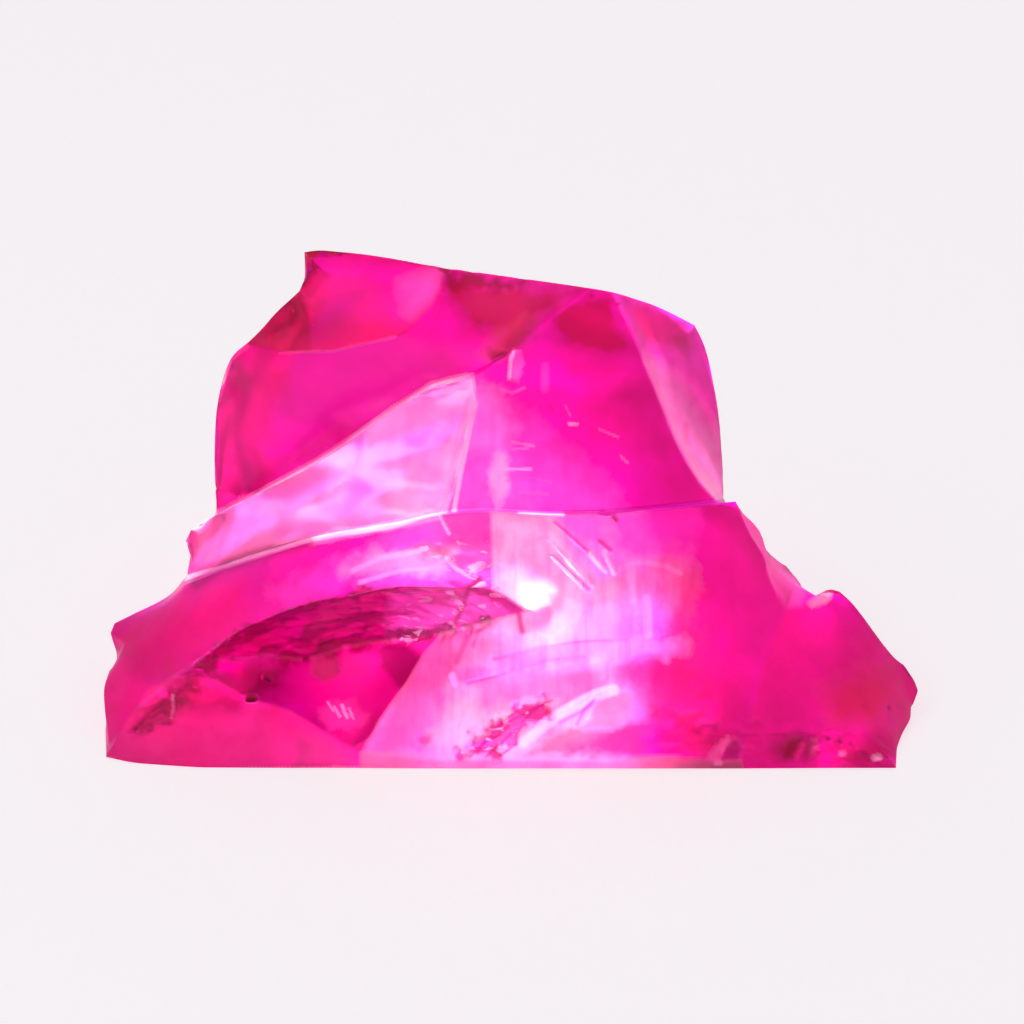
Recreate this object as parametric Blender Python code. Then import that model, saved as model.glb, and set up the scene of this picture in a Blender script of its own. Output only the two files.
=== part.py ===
"""A broken lump of clear ruby that stands on its flat base.

The stone is one solid. It is laid out as a set of fracture faces: each face is a loop of named
corners, filled with a stretched film that may bulge out or hollow in. Corners that show from the
front are given as they are seen there, with how far back each one lies. The others are given in
millimetres across, back and up. The front of the base runs along X and back is +Y.
"""

import math

import bpy
import numpy as np
from mathutils import Vector
from mathutils.geometry import delaunay_2d_cdt

MM = 0.001

# Driving sizes, in millimetres
STONE_WIDTH = 25.5
VIEW_DISTANCE = 140.0
VIEW_RISE = math.radians(25.0)
FINE = 0.46  # side of the small triangles that fill a face seen from the front
COARSE = 0.9  # the same for a face at the back
CLEAR = 0.55  # how far the triangles' inner points keep from a face's sides, in such sides

# The front view is a square of this many pixels, and these two pixels are the stone's ends in it.
VIEW_PIXELS = 1024
LEFT_END, RIGHT_END = 103, 919
BASE_LINE = 768.5
AIM_BACK = 4.0  # how far behind the base's front edge the middle of the view lies

# Corners on the flat base along its front edge: pixel across and down in the front view.
BASE_FRONT = {
    "base_a": (106, 757),
    "base_b": (133, 763),
    "base_c": (199, 767.5),
    "base_d": (290, 768),
    "base_e": (362, 768),
    "base_f": (440, 768.5),
    "base_g": (540, 768.5),
    "base_h": (640, 768.5),
    "base_i": (740, 768.5),
    "base_j": (842, 768),
    "base_k": (896, 768),
}

# Corners that show from the front: pixel across, pixel down, millimetres back.
SEEN = {
    # left end of the front slab, upwards
    "left_a": (109, 747, 1.2),
    "left_b": (104, 706, 2.6),
    "left_c": (103, 689, 3.2),
    "left_d": (109, 670, 3.8),
    "left_e": (118, 655, 4.3),
    "left_f": (113, 645, 4.7),
    "left_g": (110, 633, 5.0),
    "left_h": (114, 623, 5.3),
    "left_i": (142, 609, 5.4),
    "left_j": (167, 599, 5.3),
    # top edge of the front slab, left to right
    "ledge_a": (184, 585, 5.1),
    "ledge_b": (222, 570, 4.7),
    "ledge_c": (268, 555, 4.3),
    "ledge_d": (323, 539, 3.9),
    "ledge_e": (392, 528, 3.6),
    "ledge_f": (442, 515, 3.4),
    "ledge_g": (491, 512, 3.2),
    "ledge_h": (550, 515, 3.2),
    "ledge_i": (608, 514, 3.3),
    "ledge_j": (671, 508, 3.5),
    "ledge_k": (724, 502, 3.7),
    "ledge_l": (736, 501, 3.8),
    # foot of the upper faces, just behind that edge
    "foot_a": (187, 574, 6.4),
    "foot_b": (222, 564, 6.1),
    "foot_c": (268, 549, 5.7),
    "foot_d": (323, 534, 5.3),
    "foot_e": (392, 522, 4.9),
    "foot_f": (448, 510, 4.6),
    "foot_g": (491, 508, 4.4),
    "foot_h": (550, 511, 4.3),
    "foot_i": (608, 510, 4.4),
    "foot_j": (671, 504, 4.6),
    "foot_k": (716, 499, 5.0),
    # tip of the pale wedge
    "tip_a": (190, 556, 6.8),
    "tip_b": (185, 541, 7.2),
    "tip_c": (190, 530, 7.4),
    "tip_d": (200, 524, 7.3),
    # long slanting edge that climbs from the wedge to the top
    "slant_a": (217, 514, 7.3),
    "slant_b": (263, 491, 7.0),
    "slant_c": (306, 469, 6.9),
    "slant_d": (347, 444, 6.9),
    "slant_e": (380, 420, 6.9),
    "slant_f": (430, 388, 6.8),
    "slant_g": (472, 377, 6.6),
    "slant_h": (515, 348, 6.7),
    "slant_i": (556, 315, 7.0),
    "slant_j": (592, 288, 7.4),
    # foot of the upper block, just behind that edge
    "sill_a": (257, 493, 7.9),
    "sill_b": (306, 466, 7.8),
    "sill_c": (347, 440, 7.7),
    "sill_d": (380, 416, 7.6),
    "sill_e": (430, 384, 7.35),
    "sill_f": (472, 372, 7.1),
    # rib that parts the pale wedge from the upper right face
    "rib_a": (475, 404, 6.1),
    "rib_b": (466, 448, 5.5),
    # left side of the upper block, upwards
    "block_a": (215, 489, 8.3),
    "block_b": (214, 440, 8.6),
    "block_c": (218, 397, 8.8),
    "block_d": (230, 358, 8.8),
    "block_e": (247, 343, 8.6),
    # soft brow across the upper block
    "brow_a": (280, 351, 8.0),
    "brow_b": (311, 352, 7.6),
    "brow_c": (350, 347, 7.3),
    "brow_d": (404, 333, 7.2),
    # upper left corner
    "shoulder_a": (261, 329, 8.7),
    "shoulder_b": (276, 312, 8.8),
    "shoulder_c": (299, 291, 8.9),
    "nick_a": (300, 300, 8.6),
    "nick_b": (309, 328, 8.1),
    "top_a": (305, 278, 9.0),
    "top_b": (304, 252, 9.2),
    "top_c": (319, 249, 9.2),
    "top_d": (374, 255, 9.2),
    "top_e": (443, 267, 9.0),
    "top_f": (522, 278, 8.0),
    "arc_a": (440, 285, 8.2),
    "arc_b": (431, 305, 7.7),
    # ridge down the right of the upper block
    "spine_a": (614, 292, 7.5),
    "spine_b": (632, 329, 7.0),
    "spine_c": (651, 377, 6.6),
    "spine_d": (665, 411, 6.3),
    "spine_e": (676, 439, 6.0),
    "spine_f": (688, 462, 5.7),
    "spine_g": (701, 483, 5.3),
    # right side of the upper block, downwards
    "flank_a": (655, 305, 8.4),
    "flank_b": (678, 316, 8.8),
    "flank_c": (695, 325, 9.1),
    "flank_d": (705, 345, 9.2),
    "flank_e": (712, 372, 9.2),
    "flank_f": (717, 400, 9.1),
    "flank_g": (721, 430, 8.9),
    "flank_h": (723, 462, 8.6),
    "flank_i": (724, 500, 8.0),
    # right side of the slab, downwards
    "side_a": (744, 514, 4.5),
    "side_b": (754, 523, 5.0),
    "side_c": (762, 533, 5.4),
    "side_d": (766, 548, 5.8),
    "side_e": (775, 558, 6.4),
    "side_f": (787, 565, 6.8),
    "side_g": (796, 577, 6.4),
    "side_h": (806, 590, 5.6),
    "cheek_a": (754, 540, 3.7),
    "cheek_b": (765, 556, 3.7),
    "cheek_c": (770, 579, 3.6),
    "cheek_d": (785, 609, 3.4),
    "lobe_a": (806, 604, 3.8),
    "lobe_b": (816, 595, 4.3),
    "lobe_c": (829, 588, 4.5),
    "lobe_d": (840, 591, 4.3),
    "lobe_e": (853, 603, 4.1),
    "lobe_f": (869, 624, 4.0),
    "lobe_g": (884, 645, 4.0),
    "lobe_h": (896, 659, 4.0),
    "lobe_i": (904, 664, 4.1),
    "lobe_j": (912, 674, 4.0),
    "lobe_k": (919, 690, 3.8),
    "lobe_l": (913, 706, 3.3),
    "lobe_m": (911, 720, 2.8),
    "lobe_n": (902, 735, 2.0),
    "lobe_o": (897, 748, 1.2),
    # rim of the hollow in the slab's left half
    "rim_a": (126, 722, 1.5),
    "rim_b": (149, 690, 2.05),
    "rim_c": (176, 675, 2.2),
    "rim_d": (199, 658, 2.3),
    "rim_e": (228, 638, 2.3),
    "rim_f": (264, 620, 2.2),
    "rim_g": (310, 604, 2.1),
    "rim_h": (355, 596, 1.9),
    "rim_i": (401, 587, 1.8),
    "rim_j": (450, 588, 1.8),
    "rim_k": (493, 590, 1.9),
    "notch": (530, 612, 1.5),
    # line where the hollow's roof meets its floor
    "fold_a": (230, 661, 3.0),
    "fold_b": (262, 655, 3.4),
    "fold_c": (305, 660, 3.6),
    "fold_d": (355, 645, 3.5),
    "fold_e": (401, 640, 3.2),
    "fold_f": (440, 635, 2.7),
    "fold_g": (485, 623, 2.1),
    # right end of the hollow's floor
    "scoop_a": (424, 654, 2.4),
    "scoop_b": (402, 690, 1.6),
    "scoop_c": (378, 722, 0.9),
    "scoop_d": (362, 752, 0.3),
    # soft crease across the hollow's floor
    "crease_a": (217, 681, 2.35),
    "crease_b": (248, 699, 2.1),
    "crease_c": (290, 712, 1.6),
    "crease_d": (330, 737, 0.8),
    # edge of the narrow strip above the base
    "lip_a": (428, 757, 0.15),
    "lip_b": (525, 758, 0.12),
    "lip_c": (654, 757, 0.12),
    "lip_d": (740, 762, 0.08),
    # soft crease across the slab's right half
    "bend_a": (470, 682, 1.15),
    "bend_b": (560, 674, 1.05),
    "bend_c": (640, 664, 1.15),
    "bend_d": (700, 670, 1.25),
    "bend_e": (765, 668, 1.7),
    # soft seam left of the lobe at the slab's right end
    "seam_a": (757, 700, 1.1),
    "seam_b": (748, 735, 0.45),
    # rib between the slab's left and right halves
    "mid_a": (492, 550, 2.6),
}

# Corners that only show from behind, in millimetres: across, back, up.
HIDDEN = {
    "base_l": (12.4, 4.6, 0.0),
    "base_m": (10.2, 8.8, 0.0),
    "base_n": (4.4, 11.6, 0.0),
    "base_o": (-2.6, 12.3, 0.0),
    "base_p": (-8.6, 10.5, 0.0),
    "base_q": (-12.1, 6.5, 0.0),
    "base_r": (-12.9, 3.0, 0.0),
    "crest_a": (-5.6, 10.7, 12.1),
    "crest_b": (0.4, 11.0, 11.3),
    "crest_c": (4.6, 10.8, 10.0),
    "waist_a": (-7.6, 10.7, 6.4),
    "waist_b": (-1.5, 12.2, 5.9),
    "waist_c": (3.4, 12.2, 4.6),
    "waist_d": (6.1, 10.8, 4.9),
    "hip_a": (-11.2, 8.0, 1.3),
    "hip_b": (-9.7, 8.9, 2.1),
    "hip_c": (9.4, 8.0, 1.9),
    "shelf_a": (7.5, 7.5, 4.7),
}

# Long edges that run as one smooth curve through their corners.
CURVES = [
    "ledge_a ledge_b ledge_c ledge_d ledge_e ledge_f ledge_g ledge_h ledge_i ledge_j ledge_k",
    "foot_a foot_b foot_c foot_d foot_e foot_f foot_g foot_h foot_i foot_j foot_k",
    "slant_a slant_b slant_c slant_d slant_e slant_f slant_g slant_h slant_i slant_j",
    "spine_a spine_b spine_c spine_d spine_e spine_f spine_g foot_k",
    "block_a block_b block_c block_d block_e",
    "block_e brow_a brow_b brow_c brow_d",
    "brow_d arc_b arc_a top_e",
    "top_c top_d top_e top_f slant_j spine_a flank_a flank_b flank_c",
    "flank_c flank_d flank_e flank_f flank_g flank_h flank_i",
    "base_a rim_a rim_b rim_c rim_d rim_e rim_f rim_g rim_h rim_i rim_j rim_k notch",
    "rim_d fold_a fold_b fold_c fold_d fold_e fold_f fold_g notch",
    "scoop_a scoop_b scoop_c scoop_d",
    "rim_d crease_a crease_b crease_c crease_d scoop_d",
    "scoop_d lip_a lip_b lip_c lip_d base_j",
    "scoop_b bend_a bend_b bend_c bend_d bend_e cheek_d",
    "ledge_l cheek_a cheek_b cheek_c cheek_d",
    "slant_a sill_a sill_b sill_c sill_d sill_e sill_f slant_h",
    "slant_g rib_a rib_b foot_f",
    "bend_e seam_a seam_b lip_d",
    "left_a left_b left_c left_d",
    "lobe_c lobe_d lobe_e lobe_f lobe_g lobe_h",
]

# Every fracture face: its corners in order, and the height in millimetres that its middle
# bulges out (above 0) or hollows in (below 0).
FACES = {
    "band": (
        "base_a left_a left_b left_c left_d left_e left_f left_g left_h left_i left_j"
        " ledge_a ledge_b ledge_c ledge_d ledge_e ledge_f ledge_g mid_a rim_k rim_j rim_i"
        " rim_h rim_g rim_f rim_e rim_d rim_c rim_b rim_a",
        0.35,
    ),
    "hollow_roof": (
        "rim_d rim_e rim_f rim_g rim_h rim_i rim_j rim_k notch"
        " fold_g fold_f fold_e fold_d fold_c fold_b fold_a",
        -0.25,
    ),
    "hollow_floor": (
        "rim_d fold_a fold_b fold_c fold_d fold_e fold_f scoop_a scoop_b scoop_c scoop_d"
        " crease_d crease_c crease_b crease_a",
        -0.4,
    ),
    "apron": (
        "base_a rim_a rim_b rim_c rim_d crease_a crease_b crease_c crease_d scoop_d"
        " base_e base_d base_c base_b",
        0.2,
    ),
    "front_upper": (
        "ledge_g ledge_h ledge_i ledge_j ledge_k ledge_l cheek_a cheek_b cheek_c cheek_d"
        " bend_e bend_d bend_c bend_b bend_a scoop_b scoop_a fold_f fold_g notch rim_k mid_a",
        0.25,
    ),
    "front_lower": (
        "scoop_b bend_a bend_b bend_c bend_d bend_e seam_a seam_b lip_d lip_c lip_b lip_a"
        " scoop_d scoop_c",
        0.2,
    ),
    "lobe": (
        "cheek_d lobe_a lobe_b lobe_c lobe_d lobe_e lobe_f lobe_g lobe_h lobe_i lobe_j"
        " lobe_k lobe_l lobe_m lobe_n lobe_o base_k base_j lip_d seam_b seam_a bend_e",
        0.3,
    ),
    "lip": (
        "scoop_d lip_a lip_b lip_c lip_d base_j base_i base_h base_g base_f base_e",
        0.0,
    ),
    "cheek": (
        "ledge_l side_a side_b side_c side_d side_e side_f side_g side_h lobe_b lobe_a"
        " cheek_d cheek_c cheek_b cheek_a",
        -0.2,
    ),
    "shelf": (
        "ledge_a foot_a foot_b foot_c foot_d foot_e foot_f foot_g foot_h foot_i foot_j"
        " foot_k flank_i shelf_a side_a ledge_l ledge_k ledge_j ledge_i ledge_h ledge_g"
        " ledge_f ledge_e ledge_d ledge_c ledge_b",
        0.0,
    ),
    "wedge": (
        "foot_a tip_a tip_b tip_c tip_d slant_a slant_b slant_c slant_d slant_e slant_f"
        " slant_g rib_a rib_b foot_f foot_e foot_d foot_c foot_b",
        -0.3,
    ),
    "upper_right": (
        "foot_f rib_b rib_a slant_g slant_h slant_i slant_j spine_a spine_b spine_c spine_d"
        " spine_e spine_f spine_g foot_k foot_j foot_i foot_h foot_g",
        0.3,
    ),
    "upper_left": (
        "slant_a block_a block_b block_c block_d block_e brow_a brow_b brow_c brow_d"
        " arc_b arc_a top_e top_f slant_j slant_i slant_h sill_f sill_e sill_d sill_c"
        " sill_b sill_a",
        0.4,
    ),
    "sill": (
        "slant_a slant_b slant_c slant_d slant_e slant_f slant_g slant_h sill_f sill_e"
        " sill_d sill_c sill_b sill_a",
        0.0,
    ),
    "nick": ("block_e shoulder_a shoulder_b shoulder_c nick_a nick_b brow_b brow_a", -0.15),
    "crown": (
        "brow_b nick_b nick_a shoulder_c top_a top_b top_c top_d top_e arc_a arc_b brow_d"
        " brow_c",
        0.15,
    ),
    "flank": (
        "foot_k spine_g spine_f spine_e spine_d spine_c spine_b spine_a flank_a flank_b"
        " flank_c flank_d flank_e flank_f flank_g flank_h flank_i",
        -0.3,
    ),
    "left_wall": (
        "base_a base_r base_q hip_a left_h left_g left_f left_e left_d left_c left_b left_a",
        0.2,
    ),
    "left_shelf": ("left_h hip_a hip_b foot_a ledge_a left_j left_i", -0.1),
    "wedge_back": (
        "foot_a hip_b waist_a block_b block_a slant_a tip_d tip_c tip_b tip_a",
        -0.15,
    ),
    "block_left": (
        "block_b waist_a crest_a top_b top_a shoulder_c shoulder_b shoulder_a block_e"
        " block_d block_c",
        0.2,
    ),
    "back_top": (
        "top_b crest_a crest_b crest_c flank_c flank_b flank_a spine_a slant_j top_f top_e"
        " top_d top_c",
        0.15,
    ),
    "back_left": ("hip_a base_q base_p base_o waist_b waist_a hip_b", 0.3),
    "back_middle": ("waist_a waist_b waist_c crest_b crest_a", 0.25),
    "back_low": ("base_o base_n waist_c waist_b", -0.2),
    "back_right": (
        "crest_b waist_c waist_d shelf_a flank_i flank_h flank_g flank_f flank_e flank_d"
        " flank_c crest_c",
        0.25,
    ),
    "back_hip": ("waist_c base_n base_m hip_c waist_d", 0.2),
    "shelf_back": (
        "shelf_a waist_d hip_c lobe_b side_h side_g side_f side_e side_d side_c side_b"
        " side_a",
        -0.1,
    ),
    "lobe_back": (
        "lobe_b hip_c base_m base_l base_k lobe_o lobe_n lobe_m lobe_l lobe_k lobe_j"
        " lobe_i lobe_h lobe_g lobe_f lobe_e lobe_d lobe_c",
        0.2,
    ),
    "base": (
        "base_a base_b base_c base_d base_e base_f base_g base_h base_i base_j base_k"
        " base_l base_m base_n base_o base_p base_q base_r",
        0.0,
    ),
}
CORE = Vector((0.0, 6.0, 3.5))  # a point well inside, which tells a face's outside


def corner_points():
    """Every named corner's place, in millimetres, before the stone is centred."""
    per_pixel = STONE_WIDTH / (RIGHT_END - LEFT_END)
    middle = VIEW_PIXELS / 2
    ahead = Vector((0, math.cos(VIEW_RISE), -math.sin(VIEW_RISE)))
    upward = Vector((0, math.sin(VIEW_RISE), math.cos(VIEW_RISE)))

    def ray(across, down):
        return (
            Vector(((across - middle) * per_pixel, 0, 0))
            + upward * (middle - down) * per_pixel
            + ahead * VIEW_DISTANCE
        )

    # The eye is so high that the base line's pixel meets the ground where back is 0.
    low = ray(middle, BASE_LINE)
    eye = -ahead * VIEW_DISTANCE + Vector((0, AIM_BACK, 0))
    eye.z = low.z / low.y * eye.y
    points = {name: Vector(place) for name, place in HIDDEN.items()}
    for name, (across, down) in BASE_FRONT.items():
        way = ray(across, down)
        points[name] = eye + way * (-eye.z / way.z)
        points[name].z = 0.0
    for name, (across, down, back) in SEEN.items():
        way = ray(across, down)
        points[name] = eye + way * ((back - eye.y) / way.y)
    return points


def curve_between(before, start, end, after, share):
    """A point of the curve from start to end that runs smoothly through all four corners."""
    reach = (end - start).length
    low = (end - before) * reach / (reach + (start - before).length)
    high = (after - start) * reach / (reach + (after - end).length)
    square = share * share
    cube = square * share
    return (
        start * (2 * cube - 3 * square + 1)
        + low * (cube - 2 * square + share)
        + end * (3 * square - 2 * cube)
        + high * (cube - square)
    )


def curve_neighbours():
    """For each pair of corners next to each other on a curve: the corners before and after them."""
    found = {}
    for text in CURVES:
        names = text.split()
        for i in range(len(names) - 1):
            before = names[max(i - 1, 0)]
            after = names[min(i + 2, len(names) - 1)]
            found[names[i], names[i + 1]] = (before, after)
    return found


class Stone:
    """The mesh as it grows: points, triangles, and the points along each edge of a face."""

    def __init__(self):
        self.corners = corner_points()
        self.curves = curve_neighbours()
        self.points = []
        self.triangles = []
        self.numbers = {}
        self.edges = {}

    def add(self, point):
        self.points.append(point)
        return len(self.points) - 1

    def number(self, name):
        if name not in self.numbers:
            self.numbers[name] = self.add(self.corners[name])
        return self.numbers[name]

    def edge(self, start, end):
        """The numbers of the points from one corner up to, but not with, the next."""
        if (start, end) not in self.edges:
            a, b = self.corners[start], self.corners[end]
            behind = start in HIDDEN and end in HIDDEN
            steps = max(1, round((b - a).length / (COARSE if behind else FINE)))
            shares = [i / steps for i in range(1, steps)]
            if (start, end) in self.curves:
                before, after = self.curves[start, end]
                between = [
                    curve_between(self.corners[before], a, b, self.corners[after], s)
                    for s in shares
                ]
            elif (end, start) in self.curves:
                before, after = self.curves[end, start]
                between = [
                    curve_between(self.corners[before], b, a, self.corners[after], 1 - s)
                    for s in shares
                ]
            else:
                between = [a.lerp(b, s) for s in shares]
            inner = [self.add(point) for point in between]
            ends = [self.number(start), self.number(end)]
            self.edges[start, end] = [ends[0], *inner]
            self.edges[end, start] = [ends[1], *reversed(inner)]
        return self.edges[start, end]

    def face(self, names, bulge):
        """Fills a loop of corners with a film that is stretched over it and then bulged."""
        hidden = sum(name in HIDDEN for name in names)
        spacing = COARSE if hidden > len(names) / 2 else FINE
        loop = []
        for start, end in zip(names, names[1:] + names[:1]):
            loop += self.edge(start, end)
        rim = np.array([self.points[i] for i in loop])
        centre, across, along, normal = plane_of(rim)
        if normal @ (centre - np.array(CORE)) < 0:
            normal = -normal
            across = -across
        flat = np.stack([(rim - centre) @ across, (rim - centre) @ along], 1)
        inside = grid_inside(flat, spacing)
        spots = [Vector(p) for p in (*flat, *inside)]
        sides = [(i, (i + 1) % len(loop)) for i in range(len(loop))]
        made = delaunay_2d_cdt(spots, sides, [], 1, 1e-7)
        if len(made[0]) != len(spots):
            raise ValueError(f"the face {names[0]} ... {names[-1]} crosses itself")
        origin = [source[0] for source in made[3]]
        corners = [tuple(origin[i] for i in face) for face in made[2]]
        heights = film((rim - centre) @ normal, len(inside), corners, bulge)
        numbers = list(loop)
        for (u, v), height in zip(inside, heights):
            numbers.append(self.add(Vector(centre + across * u + along * v + normal * height)))
        places = [(*p, 0.0) for p in (*flat, *inside)]
        turn = np.dot(np.cross(across, along), normal)
        for a, b, c in corners:
            left = np.cross(np.subtract(places[b], places[a]), np.subtract(places[c], places[a]))
            if left[2] * turn < 0:
                b, c = c, b
            self.triangles.append((numbers[a], numbers[b], numbers[c]))


def plane_of(rim):
    """The centre of a loop of points, two directions in its plane and its normal."""
    centre = rim.mean(0)
    directions = np.linalg.svd(rim - centre)[2]
    return centre, directions[0], directions[1], directions[2]


def grid_inside(flat, spacing):
    """Points of a triangular grid that lie inside a flat loop, clear of its sides."""
    low, high = flat.min(0), flat.max(0)
    rise = spacing * math.sqrt(3) / 2
    starts, ends = flat, np.roll(flat, -1, axis=0)
    found = []
    for row in range(1, int((high[1] - low[1]) / rise) + 1):
        for column in range(int((high[0] - low[0]) / spacing) + 2):
            point = low + np.array([(column + row % 2 / 2) * spacing, row * rise])
            if is_inside(point, starts, ends) and gap(point, starts, ends) > CLEAR * spacing:
                found.append(point)
    return np.array(found).reshape(-1, 2)


def is_inside(point, starts, ends):
    above = (starts[:, 1] > point[1]) != (ends[:, 1] > point[1])
    s, e = starts[above], ends[above]
    crossing = s[:, 0] + (point[1] - s[:, 1]) / (e[:, 1] - s[:, 1]) * (e[:, 0] - s[:, 0])
    return np.count_nonzero(crossing > point[0]) % 2 == 1


def gap(point, starts, ends):
    """The distance from a point to the nearest side."""
    way = ends - starts
    length = np.maximum((way * way).sum(1), 1e-12)
    share = np.clip(((point - starts) * way).sum(1) / length, 0, 1)
    return np.sqrt(((starts + way * share[:, None] - point) ** 2).sum(1).min())


def film(rim_heights, count, triangles, bulge):
    """Heights of the inner points of a stretched film, with its middle raised by bulge."""
    if count == 0:
        return []
    edge = len(rim_heights)
    joined = np.zeros((edge + count, edge + count))
    for a, b, c in triangles:
        for i, j in ((a, b), (b, c), (c, a)):
            joined[i, j] = joined[j, i] = 1
    inner = joined[edge:]
    spread = np.diag(inner.sum(1)) - inner[:, edge:]
    level = np.linalg.solve(spread, inner[:, :edge] @ rim_heights)
    dome = np.linalg.solve(spread, np.ones(count))
    return level + bulge * dome / dome.max()


def build_mesh():
    stone = Stone()
    for names, bulge in FACES.values():
        stone.face(names.split(), bulge)
    places = np.array(stone.points)
    middle = (places.max(0) + places.min(0)) / 2
    middle[2] = 0
    mesh = bpy.data.meshes.new("ruby")
    mesh.from_pydata([tuple(p) for p in (places - middle) * MM], [], stone.triangles)
    mesh.update()
    return mesh


def ruby_material():
    material = bpy.data.materials.new("ruby")
    material.use_nodes = True
    shader = material.node_tree.nodes["Principled BSDF"]
    shader.inputs["Base Color"].default_value = (0.93, 0.03, 0.28, 1)
    shader.inputs["Roughness"].default_value = 0.1
    shader.inputs["IOR"].default_value = 1.77
    shader.inputs["Transmission Weight"].default_value = 0.9
    return material


def main():
    for old in list(bpy.data.objects):
        bpy.data.objects.remove(old)
    mesh = build_mesh()
    mesh.materials.append(ruby_material())
    mesh.shade_smooth()
    mesh.set_sharp_from_angle(angle=math.radians(24))
    stone = bpy.data.objects.new("ruby", mesh)
    bpy.context.scene.collection.objects.link(stone)


main()
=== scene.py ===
"""The rough ruby's looks: a finely broken clear stone on a softly lit table, with more light behind."""

import math

import bmesh
import bpy
import numpy as np
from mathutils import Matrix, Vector, noise


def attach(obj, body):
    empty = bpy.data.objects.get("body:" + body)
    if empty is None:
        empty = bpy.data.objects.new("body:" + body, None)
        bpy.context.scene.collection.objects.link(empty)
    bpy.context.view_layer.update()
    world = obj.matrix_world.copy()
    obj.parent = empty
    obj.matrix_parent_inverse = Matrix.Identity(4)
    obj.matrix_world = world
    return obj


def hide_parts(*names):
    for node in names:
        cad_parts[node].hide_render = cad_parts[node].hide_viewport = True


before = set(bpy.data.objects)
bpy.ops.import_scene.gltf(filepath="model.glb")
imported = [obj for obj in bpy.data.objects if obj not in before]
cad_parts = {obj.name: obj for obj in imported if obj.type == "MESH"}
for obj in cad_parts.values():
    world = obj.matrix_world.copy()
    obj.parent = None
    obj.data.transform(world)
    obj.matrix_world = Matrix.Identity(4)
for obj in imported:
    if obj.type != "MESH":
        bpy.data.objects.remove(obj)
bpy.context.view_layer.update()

MM = 0.001

# The photo's camera, in the stone's own frame
VIEW_PIXELS = 1024
STONE_WIDTH = 25.5 * MM  # the width that the stone's outline has across the view
STONE_PIXELS = 816  # and the same in the view's pixels
VIEW_DISTANCE = 140 * MM
VIEW_RISE = math.radians(25)
AIM = Vector((0, -2.15 * MM, 6.935 * MM))
SENSOR = 36
NEAREST_SEEN = 1 * MM

# Soft light on the whole scene: a weak light above the stone's left, and the sky
KEY_BRIGHTNESS = 0.6
KEY_PLACE = Vector((-90, -60, 140)) * MM
KEY_SIDE = 120 * MM
SKY_COLOUR = (1, 0.98, 1, 1)
SKY_BRIGHTNESS = 0.35

# The table's pale paper, which glows a little of its own so that it looks even
PAPER_COLOUR = (0.6, 0.58, 0.6, 1)
PAPER_ROUGH = 0.8
PAPER_GLOW_COLOUR = (1, 0.97, 0.99, 1)
PAPER_GLOW = 0.66
PAPER_REACH = 600 * MM
PAPER_DROP = 0.02 * MM  # how far the paper lies below the stone's base

# Light that shows through the stone alone. In the table under it: how bright all of it is, then the
# middle, reach and brightness of a spot under the stone. Behind and beside it: place, side and
# brightness. All lengths are in millimetres.
TABLE_BRIGHTNESS = 1.8
TABLE_SPOT = ((1, 4, 0), (16, 11, 1), 4.5)
TABLE_GLOW_PLACE = (0, 0, -0.012)  # between the stone and the paper
TABLE_GLOW_AIM = (0, 0, 1)
TABLE_GLOW_SIDE = 240
SOFTBOX_AIM = (0, 0, 5)
SOFTBOXES = (
    ("back_softbox", (0, 50, 64), 60, 7),
    ("hot_lamp", (-10, 50, 50), 22, 30),
    ("front_softbox", (10, -80, 70), 70, 3),
    ("left_softbox", (-62, -88, 48), 70, 6),
    ("right_softbox", (78, -34, 90), 80, 16),
)

# The crystal: plain see-through ruby, with its colour in its depth and a weak pink gloss
RUBY_IOR = 1.77
RUBY_GLOSS = 0.13
GLOSS_TINT = (1, 0.25, 0.6, 1)
DEPTH_COLOUR = (0.996, 0.94, 0.966, 1)
DEPTH_DENSITY = 1000.0  # per metre

# Fine colour of the skin, with the flecks of painted glints, from noise: the size of its bumps each
# way in millimetres, the noise at which it sets in and is full, its detail and its warp
MOTTLE = ((0.7, 0.7, 0.7), 0.4, 0.7, 2.0, 0.0)
STREAKS = ((0.3, 1.8, 1.8), 0.42, 0.62, 2.0, 0.0)
DARKS = ((2.4, 0.8, 0.8), 0.5, 0.54, 3.0, 0.9)
GLINT_FLECKS = ((0.5, 0.25, 0.25), 0.6, 0.68, 2.0, 0.4)

# What the mottling, the streaks and the dark patches multiply the tint by, and the colour of the flecks,
# which are painted glints
MOTTLE_FILTER = (0.85, 0.55, 0.75)
STREAK_FILTER = (1.0, 0.35, 0.75)
DARK_FILTER = (0.4, 0.05, 0.15)
GLINT_COLOUR = (1.0, 0.7, 0.9)

# The colour sockets of Blender's Mix node
MIX_FIRST = 6
MIX_SECOND = 7
MIX_RESULT = 2

# The fine mesh
CREASE = math.radians(24)  # an edge that is sharper than this stays crisp
SAME_POINT = 1e-7
EVEN_SPLITS = 2
SEEN_EDGE = 0.13 * MM  # longest side of a triangle on the front
SEEN_SPLITS = 3
MARK_EDGE = 0.07 * MM  # the same next to a fine mark
MARK_SPLITS = 2
MARK_MARGIN = 8  # how much wider than a mark the finer mesh is, in pixels
EASE_ROUNDS = 10  # how often the flat facets are eased into each other
EASE_SHARE = 0.5

# Tint of the skin where no fracture face below covers it, and how rough it is
BACK_TINT = (0.85, 0.08, 0.45)
BACK_DEEP = (0.5, 0.004, 0.15)
WINDOW_PAINTED_LIGHT = (0.85, 0.25, 0.65)  # painted light: the hidden sides are paler around the window, which lights the front
WINDOW_MIDDLE = (1, 6, 2)  # in millimetres
WINDOW_REACH = (4.5, 3, 4.5)
WINDOW_FADE = 2
FRONT_TINT = (0.6, 0.002, 0.25)
BASE_TINT = (1.0, 0.96, 0.98)
BASE_HEIGHT = 0.02 * MM  # the skin below this is the base
SKIN_ROUGH = 0.3

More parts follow.
